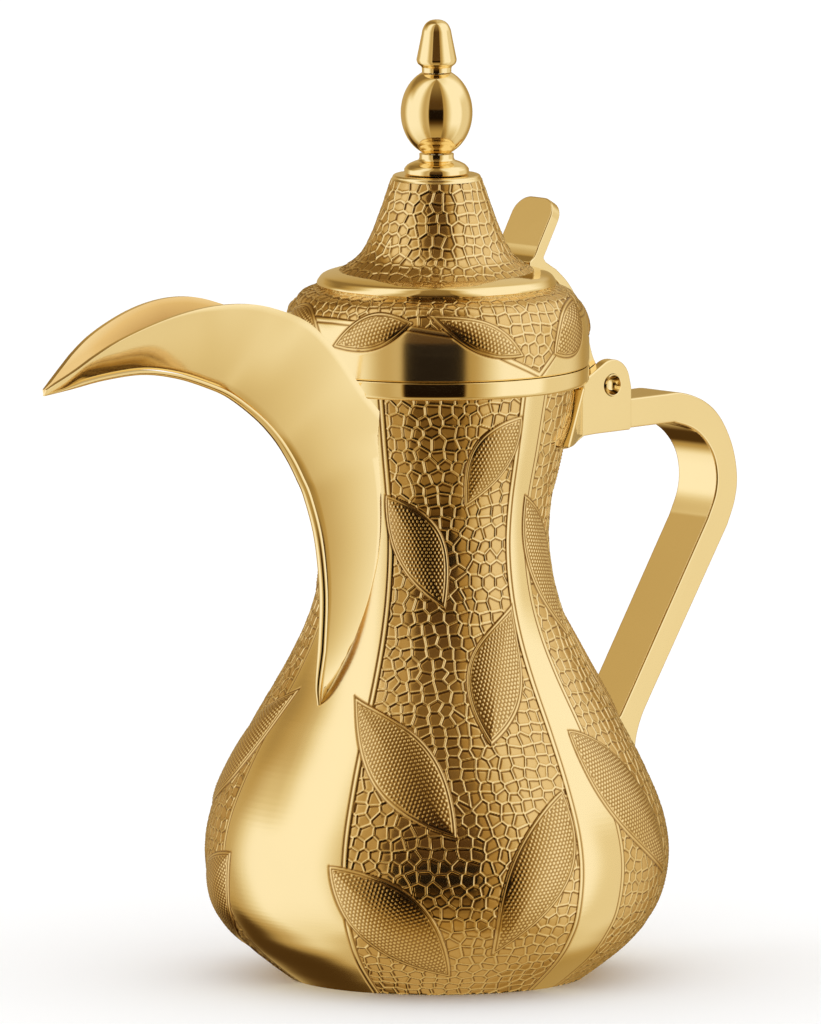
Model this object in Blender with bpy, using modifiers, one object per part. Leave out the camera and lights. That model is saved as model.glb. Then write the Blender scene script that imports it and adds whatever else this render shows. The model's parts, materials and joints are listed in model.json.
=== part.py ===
"""Dallah coffee pot, as separate parts. Metres, +Z up, beak toward -X, handle toward +X.

The origin is the centre of the base's underside. Dimensions below are in millimetres.
"""
from math import cos, pi, radians, sin, sqrt

import bmesh
import bpy
import numpy as np
from mathutils import Matrix, Vector

MM = 0.001
GAP = 0.3  # between parts that touch

# Vessel, outer profile as height: radius.
BODY_PROFILE = [
    (0.0, 46.3), (4.6, 52.6), (10.7, 60.0), (17.0, 65.4), (26.0, 70.3), (39.0, 72.4), (52.0, 70.5),
    (67.0, 64.3), (82.0, 56.3), (98.0, 47.0), (111.0, 40.8), (124.0, 36.8), (138.0, 35.1),
    (152.0, 36.3), (168.0, 39.6), (186.0, 43.0),
]
BODY_TOP = 191.4
WALL = 1.3
FLOOR_Z = 2.0
FLOOR_CORNER = 4.0
FOOT_RING = 1.7
BASE_PLATE_THICK = 1.6
BODY_SEGMENTS = 64

# Strainer holes in the neck wall behind the beak
HOLE_R, HOLE_PITCH, HOLE_ROWS, HOLE_LOW_Z = 2.1, 6.2, 8, 126.0
NARROW_HOLE_ROWS = 3

COLLAR_BOTTOM, COLLAR_TOP, COLLAR_R = 186.2, 191.8, 47.5

# Lid
SEAM = 0.4
LID_R = 47.6
# Lid skirt and shoulder, outer profile upward as (radius, height).
SHOULDER_PROFILE = [
    (LID_R, 200.0), (47.1, 205.0), (46.0, 208.8), (44.2, 212.1), (41.9, 214.8), (36.6, 216.8),
]
SPIRE_PROFILE = [
    (30.9, 221.3), (25.8, 224.8), (22.9, 228.0), (20.2, 233.6), (17.4, 241.0), (15.4, 247.0),
    (14.3, 250.0),
]
SPIRE_TOP, SPIRE_ROOF = 251.5, 2.4
BEAD_R, BEAD_BOTTOM, BEAD_TOP = 37.0, 217.1, 221.0
LID_WALL = 1.2
SPIRE_WALL = 1.4
LID_MOUTH_R = 29.9
RING_R, RING_BOTTOM, RING_THICK = 39.6, 187.6, 1.2

# Finial heights
FINIAL_BASE_Z, FINIAL_BALL_Z, FINIAL_TIP_Z, TOP_Z = 251.8, 258.3, 283.6, 300.0
BALL_R, BALL_CENTRE_Z, BALL_HALF_HEIGHT, BALL_NECK_R = 11.2, 270.9, 13.7, 4.6
STUD_R, STUD_TOP, STUD_BOTTOM = 2.0, 290.0, 242.0
NUT_ACROSS, NUT_THICK, WASHER_R, WASHER_THICK = 7.0, 3.2, 6.0, 1.0

# Beak: keel point (x, z), rim point (x, z) and half width at the rim, from the tip to the foot.
BEAK_STATIONS = [
    (-171.2, 197.2, -171.0, 198.8, 0.9), (-160.0, 198.2, -160.0, 203.8, 4.3),
    (-145.7, 199.7, -145.5, 211.0, 7.4), (-129.0, 200.0, -128.0, 216.4, 10.3),
    (-114.0, 197.5, -112.0, 218.9, 12.4), (-100.0, 193.1, -97.0, 218.7, 14.1),
    (-90.7, 189.1, -84.5, 216.0, 14.5), (-79.3, 181.7, -70.0, 210.2, 14.1),
    (-71.3, 174.7, -57.5, 199.8, 13.6), (-65.6, 167.9, -47.0, 187.0, 14.2),
    (-61.2, 161.2, -36.0, 175.0, 14.9), (-57.6, 154.6, -32.0, 163.5, 14.3),
    (-53.2, 141.6, -30.0, 146.5, 12.2), (-51.0, 125.0, -32.0, 127.0, 9.4),
    (-51.6, 109.0, -39.0, 110.0, 6.2), (-53.0, 96.0, -45.0, 96.5, 3.3),
    (-52.3, 89.6, -48.0, 89.8, 1.6),
]
BEAK_WALL = 1.2
BEAK_BULGE = 0.30
KEEL_FLAT = 1.0
KEEL_BEAD_R, KEEL_BEAD_RISE = 1.6, 1.5

# Hinge and handle
PIN_X, PIN_Z = 65.8, 180.5
PIN_R, PIN_HOLLOW_R, PIN_HOLLOW, PIN_LENGTH = 3.4, 2.6, 1.8, 25.4
EAR_GAP, EAR_THICK = 17.9, 3.1
STRIP_WIDTH = 17.3
STRAP_START, STRAP_TOP, STRAP_BOTTOM = 53.0, 174.9, 165.6
KNUCKLE_R = 5.2
THUMB_CORNER = 6.0

# Saddle of the hinge bracket: outer low point, then outer high point, from its end to the middle.
SADDLE_STATIONS = [
    (20.3, -38.2, 167.0, 34.0, -31.5, 184.2), (28.0, -32.8, 166.6, 38.0, -27.6, 184.4),
    (36.0, -26.0, 166.3, 42.5, -22.6, 184.6), (44.0, -19.2, 166.1, 47.0, -17.4, 184.8),
    (51.0, -13.6, 165.9, 51.2, -13.2, 184.9), (52.4, -8.0, 165.8, 52.4, -8.0, 185.0),
]
SADDLE_ROOT_R = 34.0

POT = {"colour": (0.72, 0.50, 0.19, 1.0), "roughness": 0.16, "metallic": 1.0}
BRIGHT = {"colour": (0.80, 0.59, 0.26, 1.0), "roughness": 0.10, "metallic": 1.0}
STEEL = {"colour": (0.55, 0.55, 0.54, 1.0), "roughness": 0.30, "metallic": 1.0}

for old in list(bpy.data.objects):
    bpy.data.objects.remove(old, do_unlink=True)

PARTS = bpy.data.collections.new("dallah_coffee_pot")
CUTTERS = bpy.data.collections.new("cutters")
for made in (PARTS, CUTTERS):
    bpy.context.scene.collection.children.link(made)
CUTTERS.hide_render = True


def material(name, look):
    made = bpy.data.materials.new(name)
    made.use_nodes = True
    shader = made.node_tree.nodes["Principled BSDF"]
    shader.inputs["Base Color"].default_value = look["colour"]
    shader.inputs["Roughness"].default_value = look["roughness"]
    shader.inputs["Metallic"].default_value = look["metallic"]
    made.diffuse_color = look["colour"]
    return made


def new_object(name, mesh, look=None):
    """An object in the parts collection, or a hidden cutter where it has no look."""
    obj = bpy.data.objects.new(name, mesh)
    if look is None:
        CUTTERS.objects.link(obj)
        obj.hide_render = True
        obj.display_type = "WIRE"
    else:
        PARTS.objects.link(obj)
        mesh.materials.append(material(name, look))
    return obj


def shade(obj, angle=35):
    obj.data.shade_smooth()
    obj.data.set_sharp_from_angle(angle=radians(angle))


def smooth_line(points, steps):
    """Catmull-Rom curve through points of any dimension, with steps pieces in each span."""
    held = np.array(points, float)
    ends = np.vstack([2 * held[0] - held[1], held, 2 * held[-1] - held[-2]])
    found = []
    for i in range(1, len(ends) - 2):
        a, b, c, d = ends[i - 1], ends[i], ends[i + 1], ends[i + 2]
        for t in np.arange(steps) / steps:
            found.append(0.5 * (
                2 * b + (c - a) * t + (2 * a - 5 * b + 4 * c - d) * t**2
                + (3 * b - a - 3 * c + d) * t**3
            ))
    found.append(held[-1])
    return [tuple(point) for point in found]


def arc(centre_r, centre_z, radius, start, end, steps):
    """Points of an arc in the profile plane, angles in degrees from +X toward +Z."""
    angles = np.radians(np.linspace(start, end, steps + 1))
    return [(centre_r + radius * cos(a), centre_z + radius * sin(a)) for a in angles]


def turned(name, profile, look=None, segments=48):
    """A turned solid. The profile is (radius, height), down the outer side; it closes itself
    unless both its ends lie on the axis."""
    mesh = bpy.data.meshes.new(name)
    shape = bmesh.new()
    dots = [shape.verts.new((r * MM, 0.0, z * MM)) for r, z in profile]
    for first, second in zip(dots, dots[1:]):
        shape.edges.new((first, second))
    if profile[0][0] > 0 or profile[-1][0] > 0:
        shape.edges.new((dots[-1], dots[0]))
    shape.to_mesh(mesh)
    shape.free()
    obj = new_object(name, mesh, look)
    screw = obj.modifiers.new("turn", "SCREW")
    screw.steps = segments
    screw.render_steps = segments
    screw.use_merge_vertices = True
    screw.merge_threshold = 0.00001
    apply_modifiers(obj)
    shade(obj)
    return obj


def apply_modifiers(obj):
    graph = bpy.context.evaluated_depsgraph_get()
    made = bpy.data.meshes.new_from_object(obj.evaluated_get(graph))
    obj.modifiers.clear()
    obj.data = made


def cut(obj, cutter, operation="DIFFERENCE"):
    boolean = obj.modifiers.new(operation.lower(), "BOOLEAN")
    boolean.operation = operation
    boolean.solver = "EXACT"
    boolean.object = cutter
    return boolean


def loft(name, rings, look=None):
    """A closed body through rings of points with equal counts, capped at both ends."""
    mesh = bpy.data.meshes.new(name)
    shape = bmesh.new()
    loops = [[shape.verts.new(Vector(point) * MM) for point in ring] for ring in rings]
    count = len(loops[0])
    for near, far in zip(loops, loops[1:]):
        for i in range(count):
            j = (i + 1) % count
            shape.faces.new((near[i], near[j], far[j], far[i]))
    shape.faces.new(list(reversed(loops[0])))
    shape.faces.new(loops[-1])
    bmesh.ops.recalc_face_normals(shape, faces=shape.faces)
    if shape.calc_volume(signed=True) < 0:
        bmesh.ops.reverse_faces(shape, faces=shape.faces)
    shape.to_mesh(mesh)
    shape.free()
    obj = new_object(name, mesh, look)
    shade(obj)
    return obj


def slab(name, outline, width, look=None, bevel=0.0, origin=(0.0, 0.0)):
    """A flat outline of (x, z) points extruded to a width along Y about the symmetry plane."""
    mesh = bpy.data.meshes.new(name)
    shape = bmesh.new()
    half = width / 2
    front = [
        shape.verts.new(Vector((x - origin[0], -half, z - origin[1])) * MM) for x, z in outline
    ]
    face = shape.faces.new(front)
    grown = bmesh.ops.extrude_face_region(shape, geom=[face])
    moved = [item for item in grown["geom"] if isinstance(item, bmesh.types.BMVert)]
    bmesh.ops.translate(shape, verts=moved, vec=(0.0, width * MM, 0.0))
    bmesh.ops.recalc_face_normals(shape, faces=shape.faces)
    shape.to_mesh(mesh)
    shape.free()
    obj = new_object(name, mesh, look)
    obj.location = (origin[0] * MM, 0.0, origin[1] * MM)
    if bevel:
        rounded = obj.modifiers.new("edges", "BEVEL")
        rounded.width = bevel * MM
        rounded.segments = 2
        rounded.limit_method = "ANGLE"
        rounded.angle_limit = radians(50)
        apply_modifiers(obj)
    shade(obj)
    return obj


def rod(name, radius, length, x, z, y=0.0, look=None, segments=32):
    """A round bar along Y."""
    mesh = bpy.data.meshes.new(name)
    shape = bmesh.new()
    bmesh.ops.create_cone(
        shape, cap_ends=True, segments=segments, radius1=radius * MM, radius2=radius * MM,
        depth=length * MM, matrix=Matrix.Rotation(pi / 2, 4, "X"),
    )
    shape.to_mesh(mesh)
    shape.free()
    obj = new_object(name, mesh, look)
    obj.location = (x * MM, y * MM, z * MM)
    shade(obj)
    return obj


def offset_profile(points, distance):
    """(radius, height) points moved along the inward normal of the line they make."""
    held = np.array(points)
    slope = np.gradient(held, axis=0)
    slope /= np.linalg.norm(slope, axis=1)[:, None]
    return [(r - distance * sz, z + distance * sr) for (r, z), (sr, sz) in zip(held, slope)]


def body_radius(height):
    """Outer radius of the vessel at a height, on the same curve as its profile."""
    line = smooth_line([(r, z) for z, r in BODY_PROFILE], 4)
    return float(np.interp(height, [z for _, z in line], [r for r, _ in line]))


def body_envelope(name, clearance):
    """Everything inside the vessel, collar and lid skirt grown by a clearance, as a cutter."""
    side = smooth_line([(r, z) for z, r in BODY_PROFILE], 2)
    outer = offset_profile(side, -clearance)
    band = COLLAR_R + clearance
    profile = [(0.0, 230.0), (band + SEAM, 230.0), (band + SEAM, COLLAR_BOTTOM - clearance)]
    profile += [point for point in reversed(outer) if point[1] < COLLAR_BOTTOM - clearance - 0.5]
    profile.append((0.0, outer[0][1]))
    return turned(name, profile)


def make_body():
    outer = smooth_line([(r, z) for z, r in BODY_PROFILE], 2)
    upper = [point for point in outer[::2] if point[1] > FLOOR_Z + 2.0]
    inner = offset_profile(upper, WALL)
    top_r = outer[-1][0]
    profile = [(top_r, BODY_TOP)] + outer[::-1]
    foot_inner = BODY_PROFILE[0][1] - FOOT_RING
    profile += [(foot_inner, 0.0), (foot_inner, FLOOR_Z), (0.0, FLOOR_Z)]
    floor_top = FLOOR_Z + WALL
    inside = [(0.0, floor_top), (inner[0][0] - FLOOR_CORNER, floor_top)] + inner
    inside.append((top_r - WALL, BODY_TOP))
    obj = turned("body_shell", profile + inside, POT, BODY_SEGMENTS)
    for cutter in strainer_holes():
        cut(obj, cutter)
        apply_modifiers(obj)
    shade(obj)
    return obj


def strainer_holes():
    """Cutters for round holes through the neck wall behind the beak, in staggered rows."""
    for row in range(HOLE_ROWS):
        height = HOLE_LOW_Z + row * HOLE_PITCH * sqrt(3) / 2
        if row % 2:
            places = (-0.5, 0.5)
        elif row < NARROW_HOLE_ROWS:
            places = (0.0,)
        else:
            places = (-1.0, 0.0, 1.0)
        for place in places:
            mesh = bpy.data.meshes.new("hole")
            shape = bmesh.new()
            bmesh.ops.create_cone(
                shape, cap_ends=True, segments=10, radius1=HOLE_R * MM, radius2=HOLE_R * MM,
                depth=20 * MM, matrix=Matrix.Rotation(pi / 2, 4, "Y"),
            )
            shape.to_mesh(mesh)
            shape.free()
            hole = new_object(f"hole_{row}_{place:+.1f}", mesh)
            hole.location = (-body_radius(height) * MM, place * HOLE_PITCH * MM, height * MM)
            bpy.context.view_layer.update()
            yield hole


def make_base_plate():
    radius = BODY_PROFILE[0][1] - FOOT_RING - GAP
    chamfer = 0.3
    turned("base_plate", [
        (0.0, BASE_PLATE_THICK), (radius, BASE_PLATE_THICK), (radius, chamfer),
        (radius - chamfer, 0.0), (0.0, 0.0),
    ], POT)


def make_collar():
    inner = BODY_PROFILE[-1][1] + GAP
    lip = 1.4
    profile = [(inner, COLLAR_TOP), (COLLAR_R - 0.3, COLLAR_TOP), (COLLAR_R, COLLAR_TOP - 0.3)]
    profile += arc(COLLAR_R - lip, COLLAR_BOTTOM + lip, lip, 0, -80, 4)
    profile += [(inner, COLLAR_BOTTOM)]
    turned("neck_collar", profile, BRIGHT)


def make_lid():
    bottom = COLLAR_TOP + SEAM
    shoulder = smooth_line(SHOULDER_PROFILE, 2)
    top_r, top_z = SHOULDER_PROFILE[-1]
    outer = [(LID_MOUTH_R, top_z)] + shoulder[::-1] + [(LID_R, bottom)]
    inner = offset_profile(shoulder, LID_WALL)
    inside = [(LID_R - LID_WALL, bottom)] + inner[:-1]
    inside += [(top_r, top_z - LID_WALL), (LID_MOUTH_R, top_z - LID_WALL)]
    turned("lid_shell", outer + inside, POT)


def make_bead():
    """A ring with a half-oval outer side and a flat bore."""
    inner_r = SPIRE_PROFILE[0][0] - 2.4
    oval_r = SPIRE_PROFILE[0][0] + 0.6
    middle = (BEAD_BOTTOM + BEAD_TOP) / 2
    half = (BEAD_TOP - BEAD_BOTTOM) / 2
    bulge = [
        (oval_r + (BEAD_R - oval_r) * cos(a), middle + half * sin(a))
        for a in np.linspace(pi / 2, -pi / 2, 9)
    ]
    turned("lid_bead", [(inner_r, BEAD_TOP)] + bulge + [(inner_r, BEAD_BOTTOM)], BRIGHT, 40)


def make_spire():
    """A hollow cone with a flared foot and a roof that the finial's stud goes through."""
    side = smooth_line(SPIRE_PROFILE, 2)
    foot_r, foot_z = SPIRE_PROFILE[0]
    roof_z = SPIRE_TOP - SPIRE_ROOF
    outer = [(STUD_R + GAP, SPIRE_TOP), (12.9, SPIRE_TOP), (13.9, SPIRE_TOP - 0.5)] + side[::-1]
    hollow = offset_profile(side, SPIRE_WALL)[::2]
    inside = [point for point in hollow if foot_z + 0.5 < point[1] < roof_z - 0.5]
    inside = [(foot_r - 2.2, foot_z)] + inside + [(inside[-1][0], roof_z), (STUD_R + GAP, roof_z)]
    turned("lid_spire", outer + inside, POT, 40)


def make_locating_ring():
    flange_r = LID_R - LID_WALL - GAP
    top = COLLAR_TOP + SEAM + 1.4
    turned("lid_locating_ring", [
        (flange_r, top), (flange_r, top - RING_THICK), (RING_R, top - RING_THICK),
        (RING_R, RING_BOTTOM + 0.5), (RING_R - 0.5, RING_BOTTOM),
        (RING_R - RING_THICK, RING_BOTTOM), (RING_R - RING_THICK, top),
    ], BRIGHT, 40)


def make_finial():
    """Disc with a flange, ball and tip, threaded on one stud with a washer and a nut below."""
    bore = STUD_R + GAP
    turned("finial_base", [
        (bore, 258.0), (5.4, 258.0), (5.4, 256.4), (5.9, 255.9), (7.2, 255.5), (8.9, 254.6),
        (10.1, 253.2), (10.1, FINIAL_BASE_Z), (bore, FINIAL_BASE_Z),
    ], BRIGHT, 32)

    ball = [
        (BALL_R * cos(a), BALL_CENTRE_Z + BALL_HALF_HEIGHT * sin(a))
        for a in np.linspace(pi / 2, -pi / 2, 17)
    ]
    neck = [(bore, FINIAL_TIP_Z - GAP), (BALL_NECK_R, FINIAL_TIP_Z - GAP)]
    foot = [(BALL_NECK_R, FINIAL_BALL_Z), (bore, FINIAL_BALL_Z)]
    shown = [point for point in ball if point[0] > BALL_NECK_R]
    turned("finial_ball", neck + shown + foot, BRIGHT, 32)

    turned("finial_tip", [
        (0.0, TOP_Z), (1.8, 299.7), (3.4, 298.6), (4.4, 297.0), (4.7, 295.6), (6.25, 287.6),
        (6.0, 286.4), (4.7, 285.3), (BALL_NECK_R, FINIAL_TIP_Z), (bore, FINIAL_TIP_Z),
        (bore, STUD_TOP), (0.0, STUD_TOP),
    ], BRIGHT, 32)

    turned("finial_stud", [
        (0.0, STUD_TOP - GAP), (STUD_R, STUD_TOP - GAP), (STUD_R, STUD_BOTTOM + 0.5),
        (STUD_R - 0.5, STUD_BOTTOM), (0.0, STUD_BOTTOM),
    ], STEEL, 24)
    washer_top = SPIRE_TOP - SPIRE_ROOF - GAP
    nut_top = washer_top - WASHER_THICK - GAP
    make_ring("finial_washer", WASHER_R, washer_top, WASHER_THICK, 32)
    make_ring("finial_nut", NUT_ACROSS / sqrt(3), nut_top, NUT_THICK, 6)


def make_ring(name, radius, top, thick, sides):
    bore = STUD_R + GAP
    turned(name, [
        (bore, top), (radius, top), (radius, top - thick), (bore, top - thick),
    ], STEEL, sides)


def beak_width(share):
    """Half width of the beak's section from keel (0) to rim (1), as a share of the rim's."""
    return share * (1 + BEAK_BULGE * (1 - share))


def beak_frames(inset):
    """Stations as (keel point, unit direction keel to rim, length, half width at the rim)."""
    frames = []
    stations = smooth_line(BEAK_STATIONS, 2)
    for i, (kx, kz, rx, rz, width) in enumerate(stations):
        keel, rim = Vector((kx, 0.0, kz)), Vector((rx, 0.0, rz))
        toward = (rim - keel).normalized()
        depth = min(inset, 0.25 * (rim - keel).length)
        keel += toward * depth
        frames.append((keel, toward, (rim - keel).length, width))
    return frames


def beak_section(keel, toward, length, width):
    """One V section of the folded sheet: down the outside, then back along the inside."""
    shares = np.linspace(0.0, 1.0, 6)
    flat = min(KEEL_FLAT, 0.3 * width)
    spread = width - flat
    wall = BEAK_WALL * sqrt(1 + (spread * (1 + BEAK_BULGE) / length) ** 2)
    low = min(BEAK_WALL, 0.5 * length)
    outer, inner = [], []
    for share in shares:
        outer.append((share * length, flat + spread * beak_width(share)))
        along = low + share * (length - low)
        half = flat + spread * beak_width(along / length) - wall
        inner.append((along, max(half, (0.12 + 0.2 * share) * outer[-1][1])))
    line = [(a, -w) for a, w in reversed(outer)] + outer
    line += list(reversed(inner)) + [(a, -w) for a, w in inner]
    return [keel + toward * a + Vector((0.0, w, 0.0)) for a, w in line]


def make_beak():
    rings = [beak_section(*frame) for frame in beak_frames(KEEL_BEAD_RISE + GAP)]
    obj = loft("spout_trough", rings, POT)
    cut(obj, body_envelope("pot_clearance", GAP))
    apply_modifiers(obj)
    shade(obj, 40)


def make_keel_bead():
    """A half-round bead along the keel, thinner toward the tip."""
    rings = []
    for kx, kz, rx, rz, width in smooth_line(BEAK_STATIONS, 2):
        across = Vector((rx - kx, 0.0, rz - kz))
        toward = across.normalized()
        rise = min(max(0.25 * across.length - GAP, 0.3), KEEL_BEAD_RISE)
        radius = min(KEEL_BEAD_R, 0.35 + 0.22 * width)
        keel = Vector((kx, 0.0, kz))
        rings.append([
            keel + toward * rise * (1 - sin(a)) + Vector((0.0, radius * cos(a), 0.0))
            for a in np.linspace(0, pi, 7)
        ])
    obj = loft("spout_keel_bead", rings, BRIGHT)
    cut(obj, bpy.data.objects["pot_clearance"])
    apply_modifiers(obj)
    shade(obj, 50)


def make_saddle():
    """The wings of the bracket, which lie round the neck and thicken toward the ears."""
    line = np.array(SADDLE_STATIONS)
    rings = []
    for station in [*line, *(line[::-1] * [1, -1, 1, 1, -1, 1])]:
        low, high = Vector(station[:3]), Vector(station[3:])
        rings.append([saddle_root(low), low, high, saddle_root(high)])
    return loft("saddle", rings)


def saddle_root(point):
    """The point inside the neck on the same radius."""
    inward = SADDLE_ROOT_R / point.xy.length
    return Vector((point.x * inward, point.y * inward, point.z))


def make_bracket():
    """A cast saddle against the neck with two ears, slotted for the strap and the knuckle."""
    width = EAR_GAP + 2 * EAR_THICK
    ear = arc(PIN_X, PIN_Z, 8.0, 120, 10, 8)
    outline = [(55.6, 184.2)] + ear + [(74.4, 179.0), (74.4, 166.4), (73.6, 165.7), (58.5, 165.7)]
    outline += smooth_line([(53.4, 165.5), (51.0, 164.3), (48.2, 162.7), (44.0, 162.1), (38.0, 162.0)], 2)
    outline += [(30.0, 162.0), (30.0, 185.4), (47.0, 185.4), (50.5, 184.2)]
    obj = slab("hinge_bracket", outline, width, BRIGHT, bevel=0.5)
    strap_floor = STRAP_BOTTOM - GAP
    cut(obj, slab("bracket_slot", [
        (STRAP_START - GAP, strap_floor), (90.0, strap_floor), (90.0, 200.0),
        (STRAP_START - GAP, 200.0),
    ], EAR_GAP))
    apply_modifiers(obj)
    cut(obj, rod("bracket_bore", PIN_R + GAP, 40.0, PIN_X, PIN_Z))
    apply_modifiers(obj)
    cut(obj, bpy.data.objects["pot_clearance"])
    apply_modifiers(obj)
    saddle = make_saddle()
    cut(saddle, bpy.data.objects["pot_clearance"])
    apply_modifiers(saddle)
    cut(obj, saddle, "UNION")
    apply_modifiers(obj)
    shade(obj)


def strap_outline():
    """Outer line then inner line of the handle, seen from the side."""
    top, low = STRAP_TOP, STRAP_BOTTOM
    outer = [(STRAP_START, top)] + smooth_line([
        (92.0, top), (100.5, 174.6), (110.2, 171.3), (117.6, 165.5), (123.1, 156.1), (125.3, 146.3),
        (124.2, 138.5), (120.9, 131.0),
    ], 3)
    outer += smooth_line([
        (86.6, 80.2), (82.8, 74.2), (80.5, 68.5), (79.3, 62.5), (77.1, 57.0), (73.7, 53.0), (66.0, 49.5),
    ], 2)
    inner = [(58.0, 70.8), (66.9, 71.6), (70.2, 72.8), (73.1, 75.4)]
    inner += smooth_line([
        (111.8, 133.8), (115.2, 140.9), (116.0, 147.2), (114.4, 153.6), (110.2, 159.2),
        (104.6, 163.1), (97.0, low),
    ], 3) + [(90.0, low), (STRAP_START, low)]
    return outer + inner


def make_handle():
    """A bent strap from between the ears down to the belly."""
    obj = slab("handle_strap", strap_outline(), STRIP_WIDTH, BRIGHT, bevel=0.7)
    cut(obj, bpy.data.objects["pot_clearance"])
    apply_modifiers(obj)
    shade(obj)


def make_pin():
    """A bar with a shallow hollow in each end."""
    obj = rod("hinge_pin", PIN_R, PIN_LENGTH, PIN_X, PIN_Z, look=BRIGHT)
    for end in (-PIN_LENGTH / 2, PIN_LENGTH / 2):
        cut(obj, rod("pin_hollow", PIN_HOLLOW_R, 2 * PIN_HOLLOW, PIN_X, PIN_Z, end, segments=24))
        apply_modifiers(obj)
    shade(obj)


def round_thumb_corners(obj):
    """Rounds the two short edges at the top of the thumb plate."""
    shape = bmesh.new()
    shape.from_mesh(obj.data)
    low = (238.5 - PIN_Z) * MM
    corners = [
        edge for edge in shape.edges
        if min(vert.co.z for vert in edge.verts) > low
        and abs(edge.verts[0].co.y - edge.verts[1].co.y) < 0.1 * MM
    ]
    bmesh.ops.bevel(
        shape, geom=corners, offset=THUMB_CORNER * MM, segments=6, affect="EDGES", profile=0.5,
    )
    shape.to_mesh(obj.data)
    shape.free()


def make_lever():
    """Thumb plate, leg and knuckle from one strip, with its origin on the hinge axis."""
    leg_outer = smooth_line([
        (44.3, 218.6), (48.6, 215.0), (51.8, 211.3), (54.8, 206.4), (57.2, 201.4), (59.0, 195.0),
        (60.6, 190.0), (63.2, 185.4),
    ], 2)
    leg_inner = smooth_line([
        (60.2, 181.5), (58.2, 188.4), (55.4, 195.0), (53.4, 200.4), (51.0, 205.0), (48.2, 209.2),
        (46.4, 212.6), (44.2, 215.0), (40.8, 216.6), (37.6, 217.3),
    ], 2)
    bend = [(37.6, 221.3), (32.4, 221.3), (32.4, 222.1), (33.8, 222.7), (35.1, 224.1), (36.3, 226.4)]
    thumb = [(44.8, 240.6), (48.2, 238.6), (38.8, 222.6), (39.8, 221.2)]
    lower = [(66.0, 184.9), (66.0, 181.5)]
    outline = leg_outer + lower + leg_inner + bend + thumb
    obj = slab("lid_lever", outline, STRIP_WIDTH, BRIGHT, origin=(PIN_X, PIN_Z))
    knuckle = rod("knuckle_barrel", KNUCKLE_R, STRIP_WIDTH, PIN_X, PIN_Z)
    cut(obj, knuckle, "UNION")
    apply_modifiers(obj)
    cut(obj, rod("knuckle_bore", PIN_R + GAP, 40.0, PIN_X, PIN_Z))
    apply_modifiers(obj)
    round_thumb_corners(obj)
    shade(obj)


make_body()
make_base_plate()
make_collar()
make_lid()
make_bead()
make_spire()
make_locating_ring()
make_finial()
make_beak()
make_keel_bead()
make_bracket()
make_handle()
make_pin()
make_lever()
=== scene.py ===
import json
from functools import reduce
from math import cos, pi, radians, sin, sqrt

import bmesh
import bpy
import numpy as np
from mathutils import Matrix, Vector


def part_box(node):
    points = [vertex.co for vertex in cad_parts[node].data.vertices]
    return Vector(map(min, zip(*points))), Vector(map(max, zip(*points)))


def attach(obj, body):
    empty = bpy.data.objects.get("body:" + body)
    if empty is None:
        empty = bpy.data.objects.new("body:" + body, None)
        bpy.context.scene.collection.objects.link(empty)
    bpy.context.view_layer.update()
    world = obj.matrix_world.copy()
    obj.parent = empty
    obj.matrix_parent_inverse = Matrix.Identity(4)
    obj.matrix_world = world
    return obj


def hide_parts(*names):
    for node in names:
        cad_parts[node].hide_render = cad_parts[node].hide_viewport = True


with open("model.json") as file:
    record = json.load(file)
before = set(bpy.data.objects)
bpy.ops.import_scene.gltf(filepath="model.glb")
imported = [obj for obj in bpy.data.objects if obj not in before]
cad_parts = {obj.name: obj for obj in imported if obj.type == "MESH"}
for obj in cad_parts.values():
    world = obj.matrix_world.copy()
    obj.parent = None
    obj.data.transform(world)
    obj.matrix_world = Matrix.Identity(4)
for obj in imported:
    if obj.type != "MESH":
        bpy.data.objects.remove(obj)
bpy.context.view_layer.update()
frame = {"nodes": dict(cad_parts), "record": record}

# Lengths are in millimetres and angles in degrees, unless a name says otherwise.
MM = 0.001
RELIEF_STEP = 0.31  # spacing of the embossed meshes' points
FINE = 192  # steps round a plain turned piece
GAP = 0.3  # the clearance between two pieces, as in the CAD
FAR = 1e9  # further than anything
MERGE = 0.001  # points nearer than this become one on a turned piece's axis

# The vessel's outer profile as (height, radius), the same curve as the CAD's.
BODY_PROFILE = [
    (0, 46.3), (4.6, 52.6), (10.7, 60), (17, 65.4), (26, 70.3), (39, 72.4), (52, 70.5),
    (67, 64.3), (82, 56.3), (98, 47), (111, 40.8), (124, 36.8), (138, 35.1),
    (152, 36.3), (168, 39.6), (186, 43),
]
BODY_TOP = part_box("body_shell")[1][2] / MM
BELLY_R = 72.4
WALL, LID_WALL, SPIRE_WALL = 1.3, 1.2, 1.4
FLOOR_Z = 2.0
FOOT_RING = 1.7  # width of the ring that the pot stands on

PIN_X, PIN_Z = (value / MM for value in frame["record"]["behaviour"]["joints"][0]["pos_m"][0:3:2])

# The crackle panels, as azimuths from the beak's direction. Each side mirrors the other.
PANELS = [(22.4, 82.9), (99.0, 159.6)]


# ---- shapes

def placed(name, data):
    """A new object in the scene that holds this data."""
    obj = bpy.data.objects.new(name, data)
    bpy.context.scene.collection.objects.link(obj)
    return obj


def smooth_line(points, steps):
    """A Catmull-Rom curve through points of any dimension, with this many pieces in each span."""
    held = np.array(points, float)
    ends = np.vstack([2 * held[0] - held[1], held, 2 * held[-1] - held[-2]])
    found = []
    for i in range(1, len(ends) - 2):
        a, b, c, d = ends[i - 1], ends[i], ends[i + 1], ends[i + 2]
        for t in np.arange(steps) / steps:
            found.append(0.5 * (
                2 * b + (c - a) * t + (2 * a - 5 * b + 4 * c - d) * t**2
                + (3 * b - a - 3 * c + d) * t**3
            ))
    found.append(held[-1])
    return np.array(found)


def curve(points, steps):
    """smooth_line as a list, to go among a profile's other points."""
    return [tuple(point) for point in smooth_line(points, steps)]


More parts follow.
